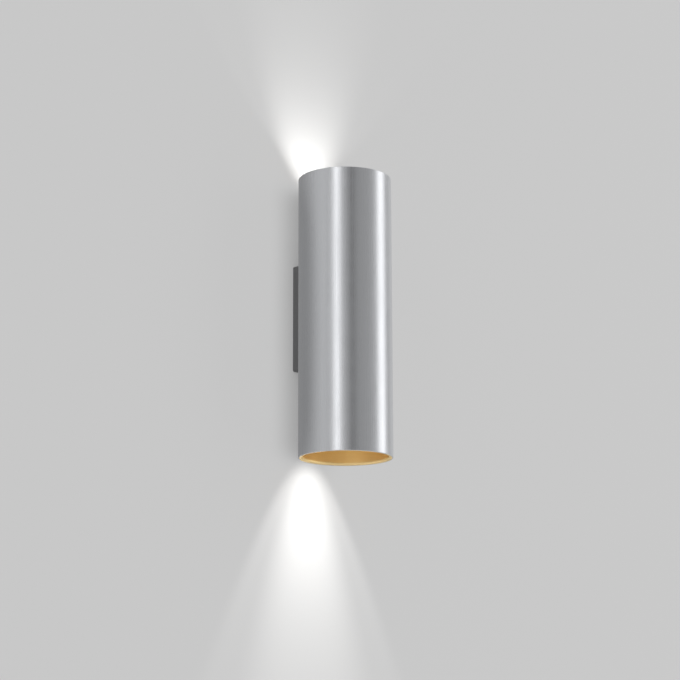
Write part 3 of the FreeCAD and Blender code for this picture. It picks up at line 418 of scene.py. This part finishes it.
@dataclass(frozen=True)
class GlowingLens(Finish):
    """A frosted disc, lit from behind, with a fine pattern of round lenslets."""

    glow_colour: Colour = (1.0, 0.93, 0.8)
    glow: float = 0.5
    glow_spread: float = 0.4
    clearness: float = 0.35
    frosts_per_metre: float = 9000.0
    lenslet_size: float = 1.1 * MM
    lenslet_depth: float = 0.12 * MM

    def material(self) -> bpy.types.Material:
        """Lenslets are rounded cells; the glow is brighter towards each cell's middle."""
        recipe = Recipe(self.slot)
        scale = 1 / self.lenslet_size
        cells = recipe.add("ShaderNodeTexVoronoi", {"Vector": recipe.coordinates, "Scale": scale},
                           feature="SMOOTH_F1")
        rise = recipe.spread(cells.outputs["Distance"], 1.0, 0.0, start=0.0, end=0.7)
        frost = recipe.noise(recipe.coordinates, self.frosts_per_metre)
        dim, bright = self.glow * (1 - self.glow_spread), self.glow * (1 + self.glow_spread)
        return recipe.surface({
            "Base Color": (*self.colour, 1.0),
            "Roughness": recipe.spread(frost, 0.25, 0.4),
            "Transmission Weight": self.clearness,
            "Emission Color": (*self.glow_colour, 1.0),
            "Emission Strength": recipe.spread(rise, dim, bright, start=0.0, end=1.0),
            "Normal": recipe.bump(rise, self.lenslet_depth),
        })


FINISHES: tuple[Finish, ...] = (
    LinedMetal("brushed_aluminium", (0.63, 0.64, 0.66), Grain.UPRIGHT, 0.3, line_depth=0.0001 * MM,
               stretch=0.25),
    LinedMetal("matt_gold", (0.93, 0.71, 0.35), Grain.TURNED, 0.5, line_tint=0.1),
    LinedMetal("lamp_housing_coating", (0.74, 0.74, 0.74), Grain.EVEN, 0.42, line_depth=0.004 * MM),
    Casting("grey_coated_casting", (0.23, 0.23, 0.235), True, 0.5, speck_colour=(0.36, 0.36, 0.365)),
    Casting("raw_casting", (0.56, 0.57, 0.58), False, 0.42, speck_colour=(0.36, 0.36, 0.37)),
    PlatedMetal("zinc_steel", (0.62, 0.63, 0.64), 0.33, patch_colour=(0.45, 0.47, 0.5)),
    PlatedMetal("brass", (0.72, 0.52, 0.22), 0.3, patch_colour=(0.45, 0.3, 0.12)),
    PlatedMetal("tinned_copper", (0.72, 0.71, 0.68), 0.32),
    PlatedMetal("nickel_pins", (0.7, 0.68, 0.64), 0.2),
    Moulding("black_rubber", (0.022, 0.022, 0.022), 0.6, skin_depth=0.012 * MM),
    Moulding("clear_silicone", (0.75, 0.72, 0.66), 0.35, clearness=0.6),
    Moulding("white_plastic", (0.78, 0.78, 0.75), 0.42),
    Moulding("silicone_lead", (0.76, 0.74, 0.69), 0.5),
    Moulding("lamp_plastic", (0.76, 0.76, 0.74), 0.38),
    FiredCeramic("ceramic", (0.8, 0.77, 0.7)),
    StripedLead("green_yellow_lead", (0.03, 0.26, 0.05)),
    PrintedBoard("circuit_board", (0.82, 0.82, 0.8)),
    GlowingLens("lit_lens", (0.93, 0.92, 0.88)),
)


class Wardrobe:
    """Every finish's material by the record's name for it, and which piece wears which."""

    def __init__(self) -> None:
        """Builds each finish once."""
        self.materials = {finish.slot: finish.material() for finish in FINISHES}
        self.slots: dict[str, str] = {
            piece["node"]: piece["material_slot"] for piece in frame["record"]["subparts"]}

    def dress(self, *nodes: str) -> None:
        """Gives carried-over pieces the materials that the record names for them."""
        for node in nodes:
            piece = frame["nodes"][node]
            piece.data.materials.clear()
            piece.data.materials.append(self.materials[self.slots[node]])

    def dress_new(self, piece: bpy.types.Object, slot: str) -> None:
        """Gives a piece made here the material of one of the record's slots."""
        piece.data.materials.append(self.materials[slot])


def middle_of(node: str) -> Vector:
    """The middle of a carried-over piece's box."""
    low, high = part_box(node)
    return (low + high) / 2


@dataclass
class SubAssembly:
    """Carried-over pieces that are dressed together; each sub-assembly names its own."""

    wardrobe: Wardrobe
    pieces: ClassVar[tuple[str, ...]] = ()

    def build(self) -> None:
        """Dresses the pieces."""
        self.wardrobe.dress(*self.pieces)


@dataclass
class Mounting(SubAssembly):
    """The saddle and what holds it to the wall."""

    pieces: ClassVar[tuple[str, ...]] = (
        "wall_plate", "cable_grommet", "mounting_saddle", "saddle_lock_screws", "frame_screws")


@dataclass
class TubeAndFrame(SubAssembly):
    """The outer tube and the casting inside it."""

    pieces: ClassVar[tuple[str, ...]] = ("outer_tube", "lamp_frame")


@dataclass
class Wiring(SubAssembly):
    """The terminal block, the earth connection and the leads."""

    pieces: ClassVar[tuple[str, ...]] = (
        "terminal_block", "terminal_clamps", "terminal_block_screws", "earth_screw",
        "earth_ring_lug", "earth_lead", "lower_lamp_leads", "upper_lamp_leads")


@dataclass
class EndAssembly(SubAssembly):
    """Carried-over pieces at one end of the tube, named without the end's own word."""

    end: End

    def build(self) -> None:
        """Dresses this end's pieces."""
        self.wardrobe.dress(*(self.end.node(piece) for piece in self.pieces))


@dataclass
class Holder(EndAssembly):
    """One twist-lock lampholder."""

    pieces: ClassVar[tuple[str, ...]] = (
        "lampholder", "lampholder_cover", "lampholder_contacts", "lampholder_screws")


@dataclass
class Sleeve(EndAssembly):
    """One gold glare sleeve and the soft ring that grips the tube."""

    pieces: ClassVar[tuple[str, ...]] = ("glare_sleeve", "sleeve_ring")


@dataclass
class Lamp(EndAssembly):
    """One twist-lock lamp, with the phosphor domes on its chips."""

    chip_offset: float = 6 * MM
    dome_radius: float = 1.4 * MM
    dome_rise: float = 0.5 * MM
    dome_rings: int = 5
    dome_sides: int = 20
    pieces: ClassVar[tuple[str, ...]] = (
        "lamp_base", "lamp_pins", "lamp_housing", "lamp_led_board", "lamp_lens", "lamp_bezel")

    def build(self) -> None:
        """Dresses the lamp's pieces and sets a dome on each chip."""
        super().build()
        self.wardrobe.dress_new(self.domes(), "lit_lens")

    def domes(self) -> bpy.types.Object:
        """The four phosphor domes, as one piece on the lamp's body."""
        board = self.end.node("lamp_led_board")
        low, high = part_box(board)
        centre = middle_of(board)
        face = high.z if self.end is End.UPPER else low.z
        shape = bmesh.new()
        for across in (-self.chip_offset, self.chip_offset):
            for deep in (-self.chip_offset, self.chip_offset):
                self.add_dome(shape, Vector((centre.x + across, centre.y + deep, face)))
        mesh = bpy.data.meshes.new(self.end.node("phosphor_domes"))
        shape.to_mesh(mesh)
        shape.free()
        mesh.shade_smooth()
        piece = bpy.data.objects.new(mesh.name, mesh)
        bpy.context.scene.collection.objects.link(piece)
        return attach(piece, self.end.node("lamp"))

    def add_dome(self, shape: bmesh.types.BMesh, foot: Vector) -> None:
        """Adds one shallow dome.

        Args:
            shape: The mesh being built.
            foot: The middle of the dome's flat side.
        """
        rings: list[list[bmesh.types.BMVert]] = []
        for ring in range(self.dome_rings):
            slope = ring / self.dome_rings * math.pi / 2
            radius, rise = self.dome_radius * math.cos(slope), self.dome_rise * math.sin(slope)
            corners = []
            for side in range(self.dome_sides):
                turn = side / self.dome_sides * math.tau
                offset = Vector((radius * math.cos(turn), radius * math.sin(turn), rise * self.end.way))
                corners.append(shape.verts.new(foot + offset))
            rings.append(corners)
        top = shape.verts.new(foot + Vector((0, 0, self.dome_rise * self.end.way)))
        for lower, upper in zip(rings, rings[1:]):
            for side in range(self.dome_sides):
                after = (side + 1) % self.dome_sides
                shape.faces.new((lower[side], lower[after], upper[after], upper[side]))
        for side in range(self.dome_sides):
            shape.faces.new((rings[-1][side], rings[-1][(side + 1) % self.dome_sides], top))


@dataclass
class Backdrop:
    """A pale wall behind the light and a pale floor far below it.

    To the camera and in reflections both show an even grey plus a share of what falls on
    them, so that the wall keeps the tube's soft shadow and the two pools of light. The even grey
    carries a painted shade where something stands close to it, narrow for the camera and wide
    in reflections. The wall's far side is clear, so that it never hides the light's back.
    """

    even_grey: float = 0.516
    lit_share: float = 0.15
    # The near and mirrored settings paint a shade into the even grey where something stands close.
    near_reach: float = 25 * MM
    near_darkening: float = 0.58
    near_onset: float = 2.0
    mirrored_grey: float = 0.65
    mirrored_reach: float = 500 * MM
    mirrored_darkening: float = 0.52
    mirrored_full: float = 0.19
    wall_colour: Colour = (0.8, 0.8, 0.8)
    wall_half_size: float = 6.0
    floor_half_size: float = 60.0
    wall_gap: float = 0.4 * MM
    floor_height: float = -1.7
    plaster_size: float = 1.2 * MM
    plaster_depth: float = 0.01 * MM
    wall: Optional[bpy.types.Object] = None

    def build(self) -> None:
        """Makes the wall and the floor."""
        upright = Matrix.Translation((0, self.wall_gap, 0)) @ Matrix.Rotation(math.pi / 2, 4, "X")
        self.wall = self.sheet("wall", self.wall_half_size, upright)
        floor = self.sheet("floor", self.floor_half_size, Matrix.Translation((0, 0, self.floor_height)))
        for sheet, clear_back in ((self.wall, True), (floor, False)):
            sheet.data.materials.append(self.paint(sheet.name, clear_back))
        self.wall.visible_diffuse = False
        self.wall.visible_shadow = False

    def sheet(self, name: str, reach: float, where: Matrix) -> bpy.types.Object:
        """A big square sheet that faces up before it is placed.

        Args:
            name: The sheet's name.
            reach: Half its side.
            where: Where it is put.

        Returns:
            The sheet.
        """
        mesh = bpy.data.meshes.new(name)
        corners = [(-reach, -reach, 0), (reach, -reach, 0), (reach, reach, 0), (-reach, reach, 0)]
        mesh.from_pydata(corners, [], [(0, 1, 2, 3)])
        mesh.transform(where)
        sheet = bpy.data.objects.new(name, mesh)
        bpy.context.scene.collection.objects.link(sheet)
        return sheet

    def paint(self, name: str, clear_back: bool) -> bpy.types.Material:
        """Matt paint that shows the camera and shiny surfaces an even grey, with a painted shade near things,
        under the real light.

        Args:
            name: The material's name.
            clear_back: Whether the far side can be seen through.

        Returns:
            The material.
        """
        recipe = Recipe(f"{name}_paint")
        grain = recipe.bump(recipe.noise(recipe.coordinates, 1 / self.plaster_size), self.plaster_depth)
        plain = recipe.add("ShaderNodeBsdfDiffuse", {"Color": (*self.wall_colour, 1.0), "Normal": grain})
        seen_colour = (self.lit_share,) * 3 + (1.0,)
        seen = recipe.add("ShaderNodeBsdfDiffuse", {"Color": seen_colour, "Normal": grain})
        rays = recipe.add("ShaderNodeLightPath").outputs
        # Painted shade: ambient occlusion darkens the even grey, narrowly for the camera and widely in
        # reflections.
        near = self.shaded(recipe, self.even_grey, self.near_reach, self.near_darkening,
                           onset=self.near_onset)
        mirrored = self.shaded(recipe, self.mirrored_grey, self.mirrored_reach, self.mirrored_darkening,
                               full=self.mirrored_full)
        level = recipe.add("ShaderNodeMix", {0: rays["Is Camera Ray"], 2: mirrored, 3: near}).outputs[0]
        even = recipe.add("ShaderNodeEmission", {"Color": (1, 1, 1, 1), "Strength": level})
        both = recipe.add("ShaderNodeAddShader", {0: seen.outputs[0], 1: even.outputs[0]})
        looked_at = recipe.maths("MAXIMUM", rays["Is Camera Ray"],
                                 recipe.maths("MAXIMUM", rays["Is Glossy Ray"], rays["Is Transmission Ray"]))
        shown = recipe.add("ShaderNodeMixShader", {0: looked_at, 1: plain.outputs[0], 2: both.outputs[0]})
        if not clear_back:
            return recipe.output(shown.outputs[0])
        behind = recipe.add("ShaderNodeNewGeometry").outputs["Backfacing"]
        clear = recipe.add("ShaderNodeBsdfTransparent")
        sided = recipe.add("ShaderNodeMixShader", {0: behind, 1: shown.outputs[0], 2: clear.outputs[0]})
        return recipe.output(sided.outputs[0])

    def shaded(self, recipe: Recipe, grey: float, reach: float, darkening: float, onset: float = 1.0,
               full: float = 1.0) -> Socket:
        """An even grey with a painted shade where something stands close.

        Args:
            recipe: The paint's nodes.
            grey: The grey's level out in the open.
            reach: How far away a thing still darkens it.
            darkening: The most that the painted shade takes, as a share of the grey.
            onset: Above 1 the darkening keeps closer to the thing.
            full: How closed in a place is, from 0 to 1, when the darkening is at its most.

        Returns:
            The grey's level.
        """
        free = recipe.add("ShaderNodeAmbientOcclusion", {"Distance": reach}, samples=8).outputs["AO"]
        closed = recipe.maths("POWER", recipe.maths("SUBTRACT", 1.0, free), onset)
        return recipe.spread(closed, grey, grey * (1 - darkening), start=0.0, end=full)


def out_in_room(camera_bearing: float, bearing: float, distance: float, lift: float) -> Matrix:
    """A place in the room that faces the tube, found by the angle at which the tube mirrors it.

    Args:
        camera_bearing: The compass angle from the tube to the camera, in degrees from -Y.
        bearing: The compass angle from the camera on to the place, in degrees.
        distance: How far the place is from the tube's axis.
        lift: How far it is above the tube's middle.

    Returns:
        The place, with its own -Z towards the tube and its Y up.
    """
    angle = math.radians(camera_bearing + bearing)
    target = middle_of("outer_tube")
    spot = target + Vector((math.sin(angle), -math.cos(angle), 0)) * distance + Vector((0, 0, lift))
    turn = (target - spot).to_track_quat("-Z", "Y")
    return Matrix.Translation(spot) @ turn.to_matrix().to_4x4()


@dataclass
class Softbox:
    """A tall soft light in the room."""

    name: str
    bearing: float
    width: float
    height: float
    power: float
    distance: float = 2.4
    lift: float = 0.45

    def build(self, camera_bearing: float) -> None:
        """Makes the light.

        Args:
            camera_bearing: The compass angle from the tube to the camera, in degrees from -Y.
        """
        data = bpy.data.lights.new(self.name, "AREA")
        data.shape = "RECTANGLE"
        data.size, data.size_y = self.width, self.height
        data.energy = self.power
        light = bpy.data.objects.new(self.name, data)
        light.matrix_world = out_in_room(camera_bearing, self.bearing, self.distance, self.lift)
        light.visible_camera = False
        bpy.context.scene.collection.objects.link(light)


@dataclass
class Card:
    """A tall card of an even grey that only shiny metal sees: a painted reflection, a darker band beside a
    highlight.
    """

    name: str
    bearing: float
    width: float
    grey: float
    distance: float
    height: float = 3.4
    lift: float = 0.3
    felt_size: float = 4 * MM
    felt_spread: float = 0.05

    def build(self, camera_bearing: float) -> None:
        """Makes the card.

        Args:
            camera_bearing: The compass angle from the tube to the camera, in degrees from -Y.
        """
        across, up = self.width / 2, self.height / 2
        mesh = bpy.data.meshes.new(self.name)
        mesh.from_pydata([(-across, -up, 0), (across, -up, 0), (across, up, 0), (-across, up, 0)], [],
                         [(0, 1, 2, 3)])
        mesh.transform(out_in_room(camera_bearing, self.bearing, self.distance, self.lift))
        recipe = Recipe(f"{self.name}_felt")
        # The card glows: its grey, mottled a little, is a painted reflection.
        painted_reflection = recipe.noise(recipe.coordinates, 1 / self.felt_size)
        level = recipe.spread(painted_reflection, self.grey * (1 - self.felt_spread), self.grey * (1 + self.felt_spread))
        shown = recipe.add("ShaderNodeEmission", {"Color": (1, 1, 1, 1), "Strength": level})
        mesh.materials.append(recipe.output(shown.outputs[0]))
        card = bpy.data.objects.new(mesh.name, mesh)
        card.visible_camera = card.visible_diffuse = card.visible_shadow = False
        bpy.context.scene.collection.objects.link(card)


@dataclass
class Beam:
    """Light that one end of the tube throws.

    A beam on the wall starts deep in the tube and isn't stopped by what stands in its way, so
    that its pool reaches right up to the tube's mouth. The lamp's own beam starts a little
    ahead of its lens and lights everything but the wall.
    """

    end: End
    power: float
    half_angle: float
    softness: float = 1.0
    on_wall: bool = True
    depth: float = 104.7 * MM
    lean: float = 0.0
    source_radius: float = 2 * MM
    colour: Colour = (1.0, 0.99, 0.965)

    def build(self, wall: bpy.types.Object) -> None:
        """Makes the light, facing out along the tube.

        Args:
            wall: The wall that it lights, or leaves out.
        """
        low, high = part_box("outer_tube")
        mouth = high.z if self.end is End.UPPER else low.z
        data = bpy.data.lights.new(self.end.node("beam"), "SPOT")
        data.spot_size = math.radians(2 * self.half_angle)
        data.spot_blend = self.softness
        data.shadow_soft_size = self.source_radius
        data.energy = self.power
        data.color = self.colour
        light = bpy.data.objects.new(data.name, data)
        centre = middle_of("outer_tube")
        light.location = (centre.x, centre.y, mouth - self.end.way * self.depth)
        lean = math.radians(self.lean) * self.end.way
        light.rotation_euler = ((math.pi if self.end is End.UPPER else 0.0) - lean, 0.0, 0.0)
        light.visible_camera = False
        light.visible_glossy = False
        bpy.context.scene.collection.objects.link(light)
        self.link(light, wall)

    def link(self, light: bpy.types.Object, wall: bpy.types.Object) -> None:
        """Keeps the light to the wall alone, or off the wall.

        Args:
            light: The light.
            wall: The wall.
        """
        lit = bpy.data.collections.new(f"{light.name}_lights")
        lit.objects.link(wall)
        light.light_linking.receiver_collection = lit
        if self.on_wall:
            light.light_linking.blocker_collection = lit
        else:
            lit.collection_objects[0].light_linking.link_state = "EXCLUDE"


@dataclass
class Studio:
    """The room's light: a plain surround, softboxes, and what the lamps throw."""

    camera_bearing: float
    backdrop: Backdrop
    surround: float = 0.24
    surround_mirrored: float = 0.4624
    surround_seen: float = 0.555

    def build(self) -> None:
        """Makes the surround, the softboxes, the cards and the lamps' beams."""
        self.build_surround()
        for piece in (
            Softbox("left_softbox", bearing=-20.3, width=0.62, height=3.0, power=8.9),
            Softbox("right_softbox", bearing=98.5, width=1.04, height=3.7, power=17.5, lift=0.2),
            # The two cards are painted reflections: darker bands beside the highlights on the metal.
            Card("grey_card", bearing=33.0, width=2.7, grey=0.41, distance=2.3),
            Card("dark_card", bearing=17.0, width=0.5, grey=0.16, distance=2.1),
        ):
            piece.build(self.camera_bearing)
        upper_depth, face_depth, face_radius = 41.5 * MM, 33 * MM, 4 * MM
        beams = [
            Beam(End.LOWER, power=4.5, half_angle=24.9, softness=0.27),
            Beam(End.LOWER, power=14.6, half_angle=16.3, lean=7.2),
            Beam(End.UPPER, power=0.33, half_angle=40.1, softness=0.21, depth=upper_depth),
            Beam(End.UPPER, power=2.1, half_angle=27.0, depth=upper_depth, lean=22.3),
        ]
        beams += [Beam(end, power=3.0, half_angle=64.0, on_wall=False, depth=face_depth,
                       source_radius=face_radius) for end in End]
        for beam in beams:
            beam.build(self.backdrop.wall)

    def build_surround(self) -> None:
        """An even surround, paler in reflections and paler still where it is looked at straight."""
        world = bpy.data.worlds.new("surround")
        bpy.context.scene.world = world
        world.use_nodes = True
        tree = world.node_tree
        tree.nodes.clear()
        rays = tree.nodes.new("ShaderNodeLightPath").outputs
        sky = tree.nodes.new("ShaderNodeBackground")
        sky.inputs["Color"].default_value = (1.0, 1.0, 1.0, 1.0)
        level = sky.inputs["Strength"]
        for ray, paler in (("Is Camera Ray", self.surround_seen), ("Is Glossy Ray", self.surround_mirrored),
                           ("Is Transmission Ray", self.surround_mirrored)):
            choice = tree.nodes.new("ShaderNodeMix")
            tree.links.new(rays[ray], choice.inputs[0])
            choice.inputs[3].default_value = paler
            tree.links.new(choice.outputs[0], level)
            level = choice.inputs[2]
        level.default_value = self.surround
        output = tree.nodes.new("ShaderNodeOutputWorld")
        tree.links.new(sky.outputs[0], output.inputs["Surface"])


@dataclass
class Viewpoint:
    """Where the camera stands: low and to the left of the light, looking a little up."""

    bearing: float = -45.0
    distance: float = 1.616
    drop: float = 0.392
    pitch: float = 0.2263
    turn: float = 0.0028
    roll: float = -0.0028
    lens: float = 103.44
    sensor: float = 36.0

    def build(self) -> None:
        """Makes the camera and sets it as the scene's own."""
        angle = math.radians(self.bearing)
        outward = Vector((math.sin(angle), -math.cos(angle), 0))
        ahead = Matrix.Rotation(self.turn, 3, "Z") @ -outward
        forward = ahead * math.cos(self.pitch) + Vector((0, 0, math.sin(self.pitch)))
        right = forward.cross(Vector((0, 0, 1))).normalized()
        up = right.cross(forward)
        sideways = right * math.cos(self.roll) + up * math.sin(self.roll)
        upwards = up * math.cos(self.roll) - right * math.sin(self.roll)
        place = middle_of("outer_tube") + outward * self.distance - Vector((0, 0, self.drop))
        data = bpy.data.cameras.new("viewpoint")
        data.lens, data.sensor_width = self.lens, self.sensor
        camera = bpy.data.objects.new("viewpoint", data)
        basis = Matrix((sideways, upwards, -forward)).transposed().to_4x4()
        camera.matrix_world = Matrix.Translation(place) @ basis
        bpy.context.scene.collection.objects.link(camera)
        bpy.context.scene.camera = camera


def main() -> None:
    """Builds each sub-assembly in order, then the stage, the light and the camera."""
    logging.basicConfig(level=logging.INFO, format="%(message)s")
    bpy.context.scene.view_settings.view_transform = "Standard"
    wardrobe = Wardrobe()
    assemblies: list[Any] = [Mounting(wardrobe), TubeAndFrame(wardrobe), Wiring(wardrobe)]
    for end in End:
        assemblies += [Holder(wardrobe, end), Lamp(wardrobe, end), Sleeve(wardrobe, end)]
    for assembly in assemblies:
        assembly.build()
        log.info("built %s", type(assembly).__name__)
    viewpoint, backdrop = Viewpoint(), Backdrop()
    for part in (backdrop, Studio(viewpoint.bearing, backdrop), viewpoint):
        part.build()
        log.info("set up %s", type(part).__name__)


if __name__ == "__main__":
    main()
